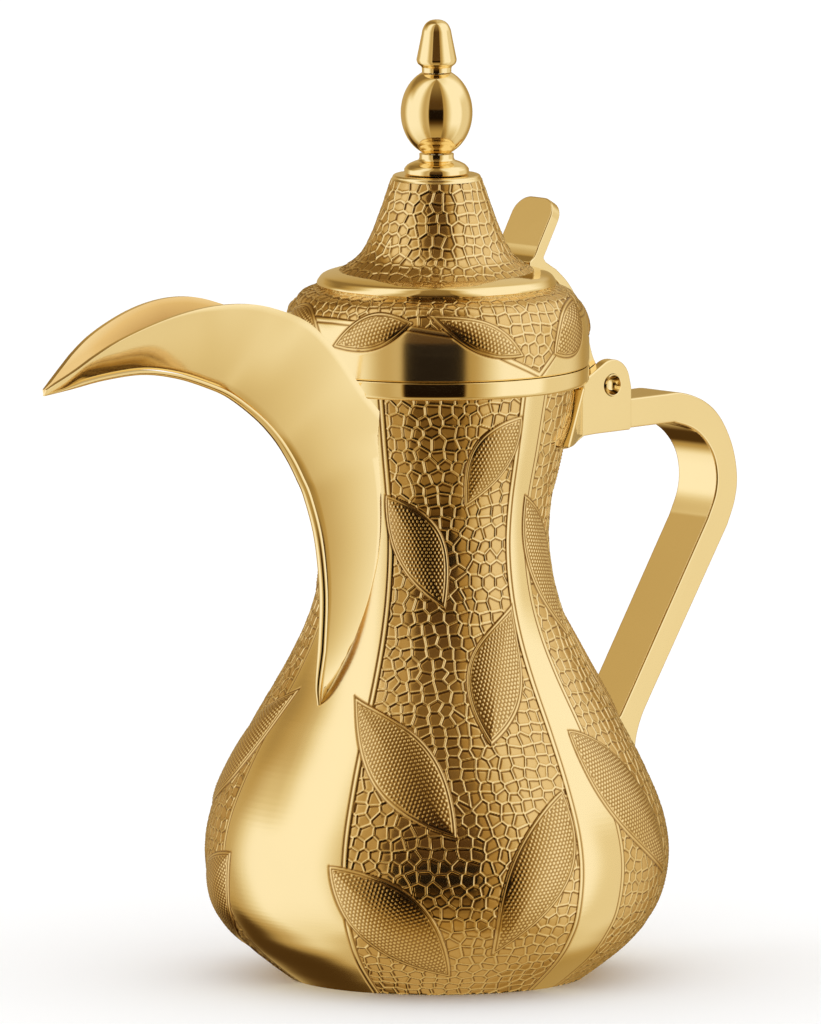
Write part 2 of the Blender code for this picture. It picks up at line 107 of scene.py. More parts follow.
def resampled(line, step):
    """A profile of (radius, height) as evenly spaced points, with its arc length."""
    lengths = np.concatenate([[0.0], np.cumsum(np.linalg.norm(np.diff(line, axis=0), axis=1))])
    at = np.linspace(0.0, lengths[-1], int(lengths[-1] / step) + 2)
    return np.column_stack([np.interp(at, lengths, line[:, i]) for i in range(2)]), at


def normals_of(line):
    """Outward unit normals of a (radius, height) profile that runs upward."""
    slope = np.gradient(line, axis=0)
    slope /= np.linalg.norm(slope, axis=1)[:, None]
    return np.column_stack([slope[:, 1], -slope[:, 0]])


def offset_line(line, distance):
    """The profile moved outward."""
    return line + normals_of(np.asarray(line, float)) * distance


def inside_of(line, wall, low, high):
    """The inside of a wall with this outer profile, between two heights."""
    points = offset_line(line[::2], -wall)
    return [tuple(point) for point in points if low < point[1] < high]


def arc(centre_r, centre_z, radius, start, end, steps):
    """Points on a circle in a profile's plane."""
    angles = np.radians(np.linspace(start, end, steps + 1))
    return [(centre_r + radius * cos(a), centre_z + radius * sin(a)) for a in angles]


def mesh_object(name, points, faces):
    """A smooth object from an array of points in millimetres and an array of quads."""
    mesh = bpy.data.meshes.new(name)
    mesh.vertices.add(len(points))
    mesh.vertices.foreach_set("co", np.ascontiguousarray(points * MM, np.float32).ravel())
    mesh.loops.add(faces.size)
    mesh.loops.foreach_set("vertex_index", np.ascontiguousarray(faces, np.int32).ravel())
    mesh.polygons.add(len(faces))
    starts = np.arange(len(faces), dtype=np.int32) * faces.shape[1]
    mesh.polygons.foreach_set("loop_start", starts)
    mesh.update(calc_edges=True)
    mesh.validate()
    mesh.shade_smooth()
    return placed(name, mesh)


def grid_faces(rows, columns):
    """Quads of a grid that closes round. Rows run upward, and columns clockwise from above."""
    index = np.arange(rows * columns).reshape(rows, columns)
    right = np.roll(index, -1, axis=1)
    return np.stack([index[:-1], right[:-1], right[1:], index[1:]], axis=-1).reshape(-1, 4)


def shape_object(name, shape):
    """An object from a bmesh, which is freed."""
    mesh = bpy.data.meshes.new(name)
    shape.to_mesh(mesh)
    shape.free()
    return placed(name, mesh)


def apply_modifiers(obj):
    """Replaces the object's mesh by what its modifiers make of it."""
    graph = bpy.context.evaluated_depsgraph_get()
    made = bpy.data.meshes.new_from_object(obj.evaluated_get(graph))
    obj.modifiers.clear()
    obj.data = made


def cut(obj, cutter, operation="DIFFERENCE"):
    """Cuts the cutter out of the object, or joins them, and removes the cutter."""
    boolean = obj.modifiers.new("cut", "BOOLEAN")
    boolean.operation = operation
    boolean.solver = "EXACT"
    boolean.object = cutter
    apply_modifiers(obj)
    bpy.data.objects.remove(cutter, do_unlink=True)


def shade(obj, angle=35):
    """Smooth, with edges sharper than this angle kept."""
    obj.data.shade_smooth()
    obj.data.set_sharp_from_angle(angle=radians(angle))


def flat_sides(obj, angle):
    """Shades a bevelled piece so that its flat sides stay flat up to the rounded edges."""
    shade(obj, angle)
    weighted = obj.modifiers.new("weighted", "WEIGHTED_NORMAL")
    weighted.keep_sharp = True
    weighted.weight = 90
    apply_modifiers(obj)


def turned(name, profile, steps=FINE, closed=True):
    """A turned piece from (radius, height) points down its outer side."""
    shape = bmesh.new()
    dots = [shape.verts.new((r * MM, 0.0, z * MM)) for r, z in profile]
    for first, second in zip(dots, dots[1:]):
        shape.edges.new((first, second))
    if closed and (profile[0][0] > 0 or profile[-1][0] > 0):
        shape.edges.new((dots[-1], dots[0]))
    obj = shape_object(name, shape)
    screw = obj.modifiers.new("turn", "SCREW")
    screw.steps = steps
    screw.render_steps = steps
    screw.use_merge_vertices = True
    screw.merge_threshold = MERGE * MM
    apply_modifiers(obj)
    shade(obj)
    return obj


def loft(name, rings):
    """A closed body through rings of points with equal counts, capped at both ends."""
    shape = bmesh.new()
    loops = [[shape.verts.new(Vector(point) * MM) for point in ring] for ring in rings]
    count = len(loops[0])
    for near, far in zip(loops, loops[1:]):
        for i in range(count):
            j = (i + 1) % count
            shape.faces.new((near[i], near[j], far[j], far[i]))
    shape.faces.new(list(reversed(loops[0])))
    shape.faces.new(loops[-1])
    bmesh.ops.recalc_face_normals(shape, faces=shape.faces)
    if shape.calc_volume(signed=True) < 0:
        bmesh.ops.reverse_faces(shape, faces=shape.faces)
    return shape_object(name, shape)


def slab(name, outline, width):
    """A flat outline of (x, z) points extruded along Y about the symmetry plane."""
    half = width / 2
    front = [(x, -half, z) for x, z in outline]
    back = [(x, half, z) for x, z in outline]
    return loft(name, [front, back])


def hinge_rod(name, radius, length):
    """A cutter or barrel on the hinge's axis."""
    shape = bmesh.new()
    bmesh.ops.create_cone(
        shape, cap_ends=True, segments=64, radius1=radius * MM, radius2=radius * MM,
        depth=length * MM, matrix=Matrix.Rotation(pi / 2, 4, "X"),
    )
    obj = shape_object(name, shape)
    obj.location = (PIN_X * MM, 0.0, PIN_Z * MM)
    bpy.context.view_layer.update()
    return obj


def rounded(obj, width, segments, angle=50):
    """Rounds the edges sharper than this angle."""
    bevel = obj.modifiers.new("edges", "BEVEL")
    bevel.width = width * MM
    bevel.segments = segments
    bevel.limit_method = "ANGLE"
    bevel.angle_limit = radians(angle)
    bevel.harden_normals = False
    apply_modifiers(obj)


# ---- relief

CRACKLE_DEPTH, LINE_REACH = 0.26, 0.21
CELL_JITTER = 0.27  # how far a cell's centre strays, as a share of the cell
CELL_TILTS = (0.005, 0.035)  # the least and the most slope of a cell
# A line is cut deeper on the side that faces this way, which is to the right and down.
UNDERCUT_SIDE = (0.66, -0.75)
UNDERCUT_DEPTH, UNDERCUT_AT, UNDERCUT_REACH = 0.12, 0.48, 0.22
BORDER_GAP, GROOVE_DEPTH, GROOVE_REACH = 1.6, 0.18, 0.26
DOT_PITCH, DOT_HEIGHT, DOT_REACH, DOT_FOOT = 1.25, 0.22, 0.26, 0.35
LEAF_LIFT, LEAF_RIM, RIM_GROOVE_REACH = 0.10, 1.0, 0.24
LEAF_EDGE_DEPTH, LEAF_EDGE_REACH = 0.26, 0.26
LEAF_DITCH_DEPTH, LEAF_DITCH_REACH = 0.12, 0.3
LEAF_FULLNESS = 0.92  # under 1 makes a leaf's outline fuller toward its tips
# How dark the painted shade is: all over a cell, beside a line on either side (darker on its
# undercut side, as a painted shadow), and between the dots.
CELL_SHADE, CELL_SHADE_REACH = 0.36, 0.34
LINE_SHADE, LINE_SHADE_AT, LINE_SHADE_REACH = (0.18, 0.82), 0.47, 0.2
DOT_SHADE, DITCH_SHADE = 0.82, 0.9


def falloff(distance, reach):
    """A bell curve, 1 where distance is 0."""
    return np.exp(-((distance / reach) ** 2))


def crackle(angle, along, radius, cell, seed):
    """Relief of raised crackle lines round slightly tilted cells, which stand in bands, for points
    given by azimuth in radians from 0 to pi, arc length and radius. Returns (height, distance to
    the nearest line, how far the point lies on that line's undercut side)."""
    wide, high = cell
    bands = int(along.max() / high) + 5
    random = np.random.default_rng(seed)
    band_z = (np.arange(bands) - 1.5) * high
    order = np.argsort(along)
    sampled = order[::97]
    band_r = np.interp(band_z, along[sampled], radius[sampled])
    count = np.maximum(6, np.round(pi * band_r / wide)).astype(int)
    most = count.max() + 4
    jitter = random.uniform(-CELL_JITTER, CELL_JITTER, (bands, most, 2))
    lean = random.uniform(0.0, 2 * pi, (bands, most))
    tilt = random.uniform(*CELL_TILTS, (bands, most))
    band = np.clip(np.floor(along / high).astype(int) + 2, 2, bands - 3)

    def site(step_band, step_column):
        """Where each point lies from the centre of a cell near it, and which cell that is."""
        b = band + step_band
        n = count[b]
        shift = 0.5 * (b % 2)
        column = np.clip(np.floor(angle / pi * n - shift).astype(int) + step_column, -1, n)
        at = jitter[b, column + 1]
        site_angle = (column + 0.5 + shift + at[:, 0]) * pi / n
        site_along = band_z[b] + at[:, 1] * high
        return (angle - site_angle) * radius, along - site_along, b, column + 1

    steps = [(b, c) for b in (-2, -1, 0, 1, 2) for c in (-1, 0, 1)]
    best, edge = np.full((2, len(angle)), FAR)
    near_x, near_y, facing = np.zeros((3, len(angle)))
    near_b, near_c = np.zeros((2, len(angle)), int)
    for step in steps:
        x, y, b, c = site(*step)
        closer = x * x + y * y < best
        best = np.where(closer, x * x + y * y, best)
        near_x, near_y = np.where(closer, x, near_x), np.where(closer, y, near_y)
        near_b, near_c = np.where(closer, b, near_b), np.where(closer, c, near_c)
    for step in steps:
        x, y, _, _ = site(*step)
        apart = np.hypot(x - near_x, y - near_y)
        far = apart > 1e-6
        to_line = (x * x + y * y - best) / np.where(far, 2 * apart, 1.0)
        nearer = far & (to_line < edge)
        edge = np.where(nearer, to_line, edge)
        to_side = (x - near_x) * UNDERCUT_SIDE[0] + (y - near_y) * UNDERCUT_SIDE[1]
        facing = np.where(nearer, to_side / np.where(far, apart, 1.0), facing)
    turn = lean[near_b, near_c]
    height = CRACKLE_DEPTH * (falloff(edge, LINE_REACH) - 1.0)
    height += tilt[near_b, near_c] * (near_x * np.cos(turn) + near_y * np.sin(turn))
    beside = np.clip(0.5 + facing, 0.0, 1.0)
    height -= UNDERCUT_DEPTH * beside * falloff(edge - UNDERCUT_AT, UNDERCUT_REACH)
    return height, edge, beside


def leaf_relief(leaf, azimuth, height, radius_at):
    """(distance inside the leaf's edge, relief, distance to the nearest dot's centre) of one
    embossed leaf, for arrays of azimuth and height. The last is large where the dots end."""
    (a0, z0), (a1, z1), left, right, peak, dome = leaf
    local_r = (radius_at(z0) + radius_at(z1)) / 2
    x = np.radians(azimuth - a0) * local_r
    y = height - z0
    axis = np.array([radians(a1 - a0) * local_r, z1 - z0])
    length = np.linalg.norm(axis)
    axis /= length
    along = x * axis[0] + y * axis[1]
    across = -x * axis[1] + y * axis[0]
    skew = np.log(0.5) / np.log(peak)
    phase = pi * np.clip(along / length, 0.0, 1.0) ** skew
    swell = np.maximum(np.sin(phase), 0.0) ** LEAF_FULLNESS
    slope = np.cos(phase) * pi / length
    inside = np.minimum(
        (left * swell - across) / np.sqrt(1 + (left * slope) ** 2),
        (across + right * swell) / np.sqrt(1 + (right * slope) ** 2),
    )
    inside = np.minimum(inside, np.minimum(along, length - along))
    share = np.clip(2 * inside / (left + right), 0.0, 1.0)
    relief = LEAF_LIFT + dome * (1 - (1 - share) ** 2)
    relief -= LEAF_EDGE_DEPTH * falloff(inside, LEAF_EDGE_REACH)
    relief -= GROOVE_DEPTH * falloff(inside - LEAF_RIM, RIM_GROOVE_REACH)
    row_pitch = DOT_PITCH * sqrt(3) / 2
    nearest = np.full(len(x), FAR)
    base_row = np.floor(across / row_pitch)
    for row in (base_row, base_row + 1):
        shift = (row % 2) * DOT_PITCH / 2
        column = np.round((along - shift) / DOT_PITCH)
        gap_x = along - (column * DOT_PITCH + shift)
        nearest = np.minimum(nearest, np.hypot(gap_x, across - row * row_pitch))
    dots = DOT_HEIGHT * (falloff(nearest, DOT_REACH) - DOT_FOOT)
    fade = np.clip((inside - LEAF_RIM - 0.35) / 0.3, 0.0, 1.0)
    return inside, relief + dots * fade, nearest + 10 * (1 - fade)


def emboss(azimuth, height, along, radius, leaves, panel_edge, radius_at, cell, seed):
    """Relief at each point, and how much shade is painted there. panel_edge is the signed distance
    inside the nearest crackle panel, and azimuth runs from 0 to 180 on either side."""
    relief, line, beside = crackle(np.radians(azimuth), along, radius, cell, seed)
    inside = np.clip(panel_edge / 0.25, 0.0, 1.0)
    relief = relief * inside
    # Painted shade over the cells away from the lines, and a painted shadow beside each line,
    # darker on its undercut side to the lower right.
    beside_line = (LINE_SHADE[0] + LINE_SHADE[1] * beside) * falloff(
        line - LINE_SHADE_AT, LINE_SHADE_REACH)
    shade_in = inside * (CELL_SHADE * (1 - falloff(line, CELL_SHADE_REACH)) + beside_line)
    # The border grooves are cut into the relief and painted with shade.
    for offset in (0.0, -BORDER_GAP):
        groove = falloff(panel_edge - offset, GROOVE_REACH)
        relief = relief - GROOVE_DEPTH * groove
        shade_in = np.maximum(shade_in, groove)
    for leaf in leaves:
        inside_leaf, shape, dot = leaf_relief(leaf, azimuth, height, radius_at)
        within = np.clip(inside_leaf / 0.15 + 1.0, 0.0, 1.0)
        relief = relief * (1 - within) + shape * within
        around = falloff(inside_leaf, LEAF_DITCH_REACH)
        relief = relief - LEAF_DITCH_DEPTH * around * (1 - within)
        # In a leaf, shade is painted in the ditch round it, in its rim groove and between its
        # dots.
        low = np.maximum(around, falloff(inside_leaf - LEAF_RIM, RIM_GROOVE_REACH))
        between = np.clip((dot - DOT_REACH) / 0.28, 0, 1) * (dot < 5)
        low = np.maximum(low, between * DOT_SHADE)
        shade_in = shade_in * (1 - within) + low * within
        shade_in = np.maximum(shade_in, around * DITCH_SHADE)
    return relief, np.clip(shade_in, 0.0, 1.0)


def embossed_skin(name, line, half_angles, leaves, edge_of, cell, seed):
    """A turned skin with its relief in the mesh. line is (radius, height) points running upward,
    and edge_of(azimuth, height, radius) gives the distance inside a crackle panel."""
    points, along = resampled(line, RELIEF_STEP)
    normal = normals_of(points)
    side = both_sides(half_angles)
    rows, columns = len(points), len(side)
    azimuth = np.tile(np.abs(side), rows)
    radius = np.repeat(points[:, 0], columns)
    height = np.repeat(points[:, 1], columns)
    arc_length = np.repeat(along, columns)
    upward = np.argsort(points[:, 1])

    def radius_at(z):
        return np.interp(z, points[upward, 1], points[upward, 0])

    relief, low = emboss(
        azimuth, height, arc_length, radius, leaves, edge_of(azimuth, height, radius), radius_at,
        cell, seed,
    )
    out_r = radius + relief * np.repeat(normal[:, 0], columns)
    out_z = np.maximum(height + relief * np.repeat(normal[:, 1], columns), height.min())
    places = around_axis(out_r, np.tile(side, rows), out_z)
    obj = mesh_object(name, places, grid_faces(rows, columns))
    # The skin's points carry the painted shade.
    set_painted_shade(obj.data, low)
    return obj


def set_painted_shade(mesh, depth):
    """Stores how much shade is painted on each point, which darkens the gold's colour."""
    painted_shade = mesh.attributes.new("painted_shade", "FLOAT", "POINT")
    painted_shade.data.foreach_set("value", depth.astype(np.float32))


def both_sides(half_angles):
    """Azimuths all the way round, from those of one side."""
    return np.concatenate([-half_angles[::-1][:-1], half_angles[1:-1]])


def around_axis(radius, azimuth, height):
    """Points (x, y, z) from azimuths in degrees from the beak's direction."""
    turn = np.radians(azimuth)
    return np.column_stack([-radius * np.cos(turn), -radius * np.sin(turn), height])


def half_turn(fine_from, fine_to, fine_step, coarse_step):
    """Azimuths from 0 to 180 with a fine stretch."""
    return np.concatenate([
        np.arange(0.0, fine_from, coarse_step),
        np.arange(fine_from, fine_to, fine_step),
        np.linspace(fine_to, 180.0, int((180.0 - fine_to) / coarse_step) + 2),
    ])


def join(objects):
    """The first object with the others' meshes added."""
    with bpy.context.temp_override(
        active_object=objects[0], object=objects[0], selected_objects=objects,
        selected_editable_objects=objects,
    ):
        bpy.ops.object.join()
    return objects[0]


# Leaves as (tip azimuth, height), (other tip), bulge on each side, where it is widest, dome.
BODY_LEAVES = [
    ((84.5, 179.5), (59, 151.5), 5.8, 8.6, 0.45, 0.9),
    ((19.5, 155), (49, 120), 10.2, 6.8, 0.47, 1),
    ((83.5, 120.5), (62, 79.5), 6.2, 12.6, 0.54, 1.1),
    ((14, 93.5), (50, 52.5), 12.2, 7.4, 0.55, 1.2),
    ((81.5, 65), (60.5, 14.5), 9.6, 9.4, 0.46, 1.2),
    ((17.5, 43), (49.5, 7), 11.2, 10.4, 0.48, 1.2),
    ((93.5, 154), (121, 108), 12, 6, 0.50, 1),
    ((91.5, 82), (123, 34), 12.2, 10.6, 0.45, 1.2),
    ((161, 180), (136, 152), 5.8, 8.6, 0.45, 0.9),
    ((160.5, 121), (139, 80), 6.2, 12.4, 0.54, 1.1),
    ((158.5, 64), (138, 14.5), 9.6, 9.4, 0.46, 1.2),
]
LID_LEAVES = [
    ((2, 201.8), (35.5, 210.4), 6.6, 4.6, 0.52, 0.7),
    ((41, 213), (80, 199.2), 5.6, 4.6, 0.58, 0.8),
    ((95, 199), (122.5, 214.2), 5.6, 8.6, 0.45, 0.8),
    ((130, 201.6), (163, 210.4), 6, 4.6, 0.5, 0.7),
]
# The lid's crackle ends at this lower border, as azimuth: height.
LID_BORDER = [
    (0, 210.5), (35, 209.6), (51, 207.6), (87.3, 193.9), (106, 207.4), (120, 209.6), (180, 210.4),
]
# How steep that border is, as azimuth: millimetres a degree.
LID_BORDER_SLOPE = [
    (0, 0.03), (34, 0.03), (35, 0.12), (51, 0.12), (52, 0.38), (87, 0.38), (88, 0.72),
    (106, 0.72), (107, 0.05), (180, 0.05),
]


def body_edge(azimuth, height, radius):
    """Signed distance inside the nearest crackle panel of the body, at any height."""
    inside = np.full(len(azimuth), -FAR)
    for low, high in PANELS:
        from_side = np.minimum(azimuth - low, high - azimuth)
        inside = np.maximum(inside, from_side)
    return np.radians(inside) * radius


def lid_edge(azimuth, height, radius):
    """Signed distance over the border of the lid's crackle."""
    over = height - np.interp(azimuth, *zip(*LID_BORDER))
    slope = np.interp(azimuth, *zip(*LID_BORDER_SLOPE))
    return over / np.sqrt(1 + (slope * 57.3 / radius) ** 2)


def everywhere(azimuth, height, radius):
    """The spire's crackle has no border."""
    return np.full(len(azimuth), 5.0)


# ---- materials

POLISH_SPREAD, TONE_SPREAD = (0.8, 1.25), (0.97, 1.03)  # the least and the most, as shares


def linked(tree, kind, links=(), **values):
    """A new node with these input values, and these of its inputs linked to outputs."""
    node = tree.nodes.new("ShaderNode" + kind)
    for name, value in values.items():
        node.inputs[name.replace("_", " ")].default_value = value
    for name, output in dict(links).items():
        tree.links.new(output, node.inputs[name])
    return node


def metal(name, scale, detail, least, most):
    """A metal whose roughness goes from least to most with a noise of this scale. Returns it, the
    object's own coordinates and the noise."""
    made = bpy.data.materials.new(name)
    made.use_nodes = True
    tree = made.node_tree
    shader = tree.nodes["Principled BSDF"]
    shader.inputs["Metallic"].default_value = 1.0
    place = linked(tree, "TexCoord").outputs["Object"]
    noise = linked(tree, "TexNoise", {"Vector": place}, Scale=scale, Detail=detail).outputs["Fac"]
    rough = linked(tree, "MapRange", {"Value": noise}, To_Min=least, To_Max=most)
    tree.links.new(rough.outputs["Result"], shader.inputs["Roughness"])
    return made, place, noise


def colour_mix(tree, blend, factor, first, second):
    """A mix of two colours, each given as a value or as an output."""
    node = tree.nodes.new("ShaderNodeMix")
    node.data_type = "RGBA"
    node.blend_type = blend
    for name, value in (("Factor", factor), ("A", first), ("B", second)):
        if isinstance(value, bpy.types.NodeSocket):
            tree.links.new(value, node.inputs[name])
        else:
            node.inputs[name].default_value = value
    return node.outputs["Result"]


def gold(name, colour, roughness, painted_shade_colours=None):
    """Polished gold plate with uneven polish and a faint grain. The last argument holds the
    painted shade's colours: what the colour is multiplied by halfway into the painted shade and
    where it is deepest."""
    least, most = (roughness * share for share in POLISH_SPREAD)
    made, place, cloud = metal(name, 38.0, 4.0, least, most)
    tree = made.node_tree
    shader = tree.nodes["Principled BSDF"]
    duller, brighter = ((*(min(1.0, c * share) for c in colour), 1.0) for share in TONE_SPREAD)
    finish = colour_mix(tree, "MIX", cloud, duller, brighter)
    # Painted shade: the colour is darkened where the points' painted shade attribute says.
    if painted_shade_colours:
        painted_shade = linked(tree, "Attribute")
        painted_shade.attribute_name = "painted_shade"
        depth = linked(tree, "ValToRGB", {"Fac": painted_shade.outputs["Fac"]})
        depth.color_ramp.elements.new(0.4)
        for element, share in zip(depth.color_ramp.elements, ((1.0, 1.0, 1.0), *painted_shade_colours)):
            element.color = (*share, 1.0)
        finish = colour_mix(tree, "MULTIPLY", 1.0, finish, depth.outputs["Color"])
    tree.links.new(finish, shader.inputs["Base Color"])

    grain = linked(tree, "TexNoise", {"Vector": place}, Scale=900.0, Detail=2.0).outputs["Fac"]
    bump = linked(tree, "Bump", {"Height": grain}, Strength=0.05, Distance=0.00002)
    tree.links.new(bump.outputs["Normal"], shader.inputs["Normal"])
    return made


def steel(name):
    """Dull steel, for the fixings under the lid."""
    made = metal(name, 400.0, 2.0, 0.22, 0.45)[0]
    shader = made.node_tree.nodes["Principled BSDF"]
    shader.inputs["Base Color"].default_value = (0.55, 0.55, 0.54, 1.0)
    return made


GOLD = (0.95, 0.77, 0.42)
# The embossed gold and the beak's gold carry painted shade, which darkens them toward these
# colours.
EMBOSSED = gold("embossed_gold", GOLD, 0.14, painted_shade_colours=((0.76, 0.62, 0.42), (0.20, 0.11, 0.05)))
POLISHED = gold("polished_gold", GOLD, 0.065)
BRUSHED = gold("satin_gold", GOLD, 0.24)
CHANNEL = gold("beak_gold", GOLD, 0.08, painted_shade_colours=((0.80, 0.64, 0.42), (0.42, 0.25, 0.09)))
STEEL = steel("steel")


def dress(obj, look, body, slot, *nodes):
    """Gives a new piece its material and its body, and hides the CAD nodes that it stands for.
    slot is not used.
    """
    obj.data.materials.clear()
    obj.data.materials.append(look)
    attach(obj, body)
    if nodes:
        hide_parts(*nodes)
    return obj


# ---- the pot

BODY_CELL, LID_CELL, SPIRE_CELL = (4.1, 3.7), (4.0, 3.4), (3.5, 3.5)  # width, height
RIM_LIP = 0.4  # the chamfer of the pot's rim
LINING_STEP = 0.9


def body_line(steps=8):
    """The vessel's outside, upward as (radius, height)."""
    return smooth_line([(r, z) for z, r in BODY_PROFILE], steps)


def make_body():
    """The embossed skin, the lining that shows when the lid is open, the rim and the foot."""
    outer = body_line()
    half = half_turn(12.0, 164.0, np.degrees(RELIEF_STEP / BELLY_R), 1.0)
    skin = embossed_skin("body_embossed", outer, half, BODY_LEAVES, body_edge, BODY_CELL, 7)
    cut_strainer(skin)
    top = outer[-1]
    inner = inside_of(outer, WALL, FLOOR_Z + 4.0, FAR)
    floor = FLOOR_Z + WALL
    line, _ = resampled(np.array([
        (0.0, floor), (inner[0][0] - 4.0, floor), *inner, (top[0] - WALL, BODY_TOP),
    ]), LINING_STEP)
    side = both_sides(half_turn(0.0, 14.0, 1.0, 2.5))
    rows, columns = len(line), len(side)
    places = around_axis(
        np.repeat(line[:, 0], columns), np.tile(side, rows), np.repeat(line[:, 1], columns))
    lining = mesh_object("lining", places, grid_faces(rows, columns)[:, ::-1])
    cut_strainer(lining)
    rim = turned("rim", [
        tuple(top), (top[0], BODY_TOP - RIM_LIP), (top[0] - RIM_LIP, BODY_TOP),
        (top[0] - WALL, BODY_TOP),
    ], closed=False)
    foot_outer = BODY_PROFILE[0][1]
    foot = turned("foot", [
        (foot_outer, 0.0), (foot_outer - FOOT_RING, 0.0), (foot_outer - FOOT_RING, FLOOR_Z),
        (0.0, FLOOR_Z),
    ], closed=False)
    body = join([skin, hole_walls(outer), lining, rim, foot])
    dress(body, EMBOSSED, "pot", "embossed_gold", "body_shell")


# The strainer behind the beak: round holes in rows, of one and two in turn near its foot.
HOLE_R, HOLE_PITCH, HOLE_LOW_Z, HOLE_STEPS = 2.1, 6.2, 126.0, 24
HOLE_ROWS, NARROW_HOLE_ROWS = 8, 3
BEHIND_BEAK_X = -20.0
SNAP_REACH = 1.0  # points of a cut edge this near a hole move onto its round edge


def strainer_holes():
    """The holes' centres as (y, z)."""
    for row in range(HOLE_ROWS):
        places = (-0.5, 0.5) if row % 2 else (0.0,) if row < NARROW_HOLE_ROWS else (-1.0, 0.0, 1.0)
        for place in places:
            yield place * HOLE_PITCH, HOLE_LOW_Z + row * HOLE_PITCH * sqrt(3) / 2


def cut_strainer(obj):
    """Opens the strainer's round holes, behind the beak."""
    mesh = obj.data
    shape = bmesh.new()
    shape.from_mesh(mesh)
    centres = np.array([face.calc_center_median() for face in shape.faces]) / MM
    nearest = np.full(len(centres), FAR)
    for y, z in strainer_holes():
        nearest = np.minimum(nearest, np.hypot(centres[:, 1] - y, centres[:, 2] - z))
    gone = np.flatnonzero((nearest < HOLE_R) & (centres[:, 0] < BEHIND_BEAK_X))
    shape.faces.ensure_lookup_table()
    bmesh.ops.delete(shape, geom=[shape.faces[int(i)] for i in gone], context="FACES")
    for vert in shape.verts:
        if vert.is_boundary and vert.co.x < BEHIND_BEAK_X * MM:
            for y, z in strainer_holes():
                centre = Vector((0.0, y * MM, z * MM))
                spoke = Vector((0.0, vert.co.y, vert.co.z)) - centre
                if spoke.length < (HOLE_R + SNAP_REACH) * MM:
                    vert.co += spoke * (HOLE_R * MM / spoke.length - 1.0)
    shape.to_mesh(mesh)
    shape.free()


def hole_walls(outer):
    """Short tubes through the wall, one round each hole."""
    points, quads = [], []
    turns = np.linspace(0.0, 2 * pi, HOLE_STEPS, endpoint=False)
    for centre_y, centre_z in strainer_holes():
        y, z = centre_y + HOLE_R * np.cos(turns), centre_z + HOLE_R * np.sin(turns)
        radius = np.interp(z, outer[:, 1], outer[:, 0])
        first = sum(len(ring) for ring in points)
        for inset in (0.0, WALL):
            points.append(np.column_stack([-np.sqrt((radius - inset) ** 2 - y**2), y, z]))
        for i in range(HOLE_STEPS):
            j = (i + 1) % HOLE_STEPS
            quads.append((first + i, first + HOLE_STEPS + i, first + HOLE_STEPS + j, first + j))
    return mesh_object("hole_walls", np.vstack(points), np.array(quads))


# Lid skirt and shoulder, and the spire, upward as (radius, height).
LID_R = 47.6
SHOULDER_PROFILE = [
    (LID_R, 200), (47.1, 205), (46, 208.8), (44.2, 212.1), (41.9, 214.8), (36.6, 216.8),
]
SPIRE_PROFILE = [
    (30.9, 221.3), (25.8, 224.8), (22.9, 228), (20.2, 233.6), (17.4, 241), (15.4, 247),
    (14.3, 250),
]
SPIRE_TOP, SPIRE_ROOF = 251.5, 2.4
LID_MOUTH_R = 29.9
STUD_BORE = 2.3
SKIRT_DROP, SKIRT_CHAMFER = 0.2, 0.5
SPIRE_FLANGE = 2.2
SPIRE_EDGE_R = 0.9  # the rounded edge round the spire's flat top


def make_lid():
    """The shoulder with its skirt, and the spire, each an embossed skin with a plain lining."""
    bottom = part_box("lid_shell")[0][2] / MM - SKIRT_DROP
    shoulder = smooth_line(SHOULDER_PROFILE, 8)
    outer = np.vstack([[(LID_R, bottom + SKIRT_CHAMFER)], shoulder])
    half = half_turn(0.0, 170.0, np.degrees(RELIEF_STEP / LID_R), 1.0)
    skin = embossed_skin("lid_embossed", outer, half, LID_LEAVES, lid_edge, LID_CELL, 3)
    inner = offset_line(shoulder[::2], -LID_WALL)[:-1]
    top_r, top_z = SHOULDER_PROFILE[-1]
    lining = turned("lid_lining", [
        (LID_R, bottom + SKIRT_CHAMFER), (LID_R - SKIRT_CHAMFER, bottom),
        (LID_R - LID_WALL, bottom),
        *[tuple(point) for point in inner], (top_r, top_z - LID_WALL),
        (LID_MOUTH_R, top_z - LID_WALL), (LID_MOUTH_R, top_z), (top_r, top_z),
    ], closed=False)
    dress(join([skin, lining]), EMBOSSED, "lid", "embossed_gold", "lid_shell")

    side = smooth_line(SPIRE_PROFILE, 8)
    half = half_turn(0.0, 179.0, 0.75, 1.0)
    skin = embossed_skin("spire_embossed", side, half, [], everywhere, SPIRE_CELL, 11)
    roof = SPIRE_TOP - SPIRE_ROOF
    hollow = inside_of(side, SPIRE_WALL, side[0][1] + 0.5, roof - 0.5)
    top = side[-1]
    cap = turned("spire_cap", [
        (STUD_BORE, SPIRE_TOP), (12.9, SPIRE_TOP),
        *arc(12.9, SPIRE_TOP - SPIRE_EDGE_R, SPIRE_EDGE_R, 80, 0, 5),
        (13.95, 250.4), (top[0], top[1]),
    ], closed=False)
    lining = turned("spire_lining", [
        tuple(side[0]), (side[0][0] - SPIRE_FLANGE, side[0][1]), *hollow, (hollow[-1][0], roof),
        (STUD_BORE, roof), (STUD_BORE, SPIRE_TOP),
    ], closed=False)
    dress(join([skin, cap, lining]), EMBOSSED, "lid", "embossed_gold", "lid_spire")


COLLAR_EDGE_R, COLLAR_LIP_R = 0.45, 1.4
BEAD_SINK = 0.9  # how far the bead reaches below its seat, so that no light shows under it


